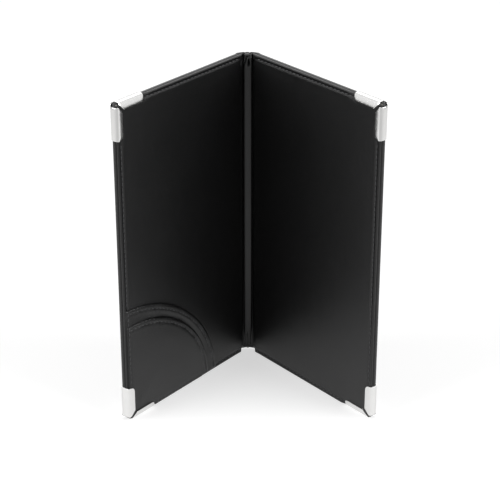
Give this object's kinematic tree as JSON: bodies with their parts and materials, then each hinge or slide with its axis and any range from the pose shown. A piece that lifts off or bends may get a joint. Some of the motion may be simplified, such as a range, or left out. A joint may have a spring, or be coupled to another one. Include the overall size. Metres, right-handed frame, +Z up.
{
  "type": "menu cover",
  "caption": "Folding leatherette cover for a bill or menu: two padded stitched panels hinged at a soft spine, metal corners and two stacked card pockets.",
  "frame": {"origin": "centre of the footprint, on the surface that the open cover stands on", "axes": "+Z up along the spine, +Y from the open side to the spine, +X towards the plain right panel"},
  "size_m": [0.1736, 0.103, 0.229],
  "materials": {
    "cover_leatherette": "fine grain, semi-matt",
    "lining_leatherette": "fine grain, semi-matt",
    "pocket_leatherette": "fine grain, semi-matt",
    "foam": "open cell, matt",
    "grey_board": "pressed board, matt",
    "lining_card": "card, matt",
    "thread": "twisted thread, slight sheen",
    "nickel": "polished plate"
  },
  "bodies": {
    "spine": {"spine_outer_cover": "cover_leatherette", "spine_stiffener": "grey_board", "spine_lining": "lining_leatherette"},
    "left_panel": {"left_outer_cover": "cover_leatherette", "left_foam_pad": "foam", "left_board": "grey_board", "left_lining_card": "lining_card", "left_lining": "lining_leatherette", "left_edge_stitching": "thread", "rear_card_pocket": "pocket_leatherette", "rear_pocket_stitching": "thread", "front_card_pocket": "pocket_leatherette", "front_pocket_stitching": "thread", "top_left_corner": "nickel", "bottom_left_corner": "nickel"},
    "right_panel": {"right_outer_cover": "cover_leatherette", "right_foam_pad": "foam", "right_board": "grey_board", "right_lining_card": "lining_card", "right_lining": "lining_leatherette", "right_edge_stitching": "thread", "top_right_corner": "nickel", "bottom_right_corner": "nickel"}
  },
  "joints": [
    {"name": "left_fold", "type": "hinge", "parent": "spine", "child": "left_panel", "pos_m": [-0.0075, 0.05039, 0], "axis": [0, 0, -1], "range_deg": [-39, 51]},
    {"name": "right_fold", "type": "hinge", "parent": "spine", "child": "right_panel", "pos_m": [0.0075, 0.05039, 0], "axis": [0, 0, 1], "range_deg": [-39, 51]}
  ]
}
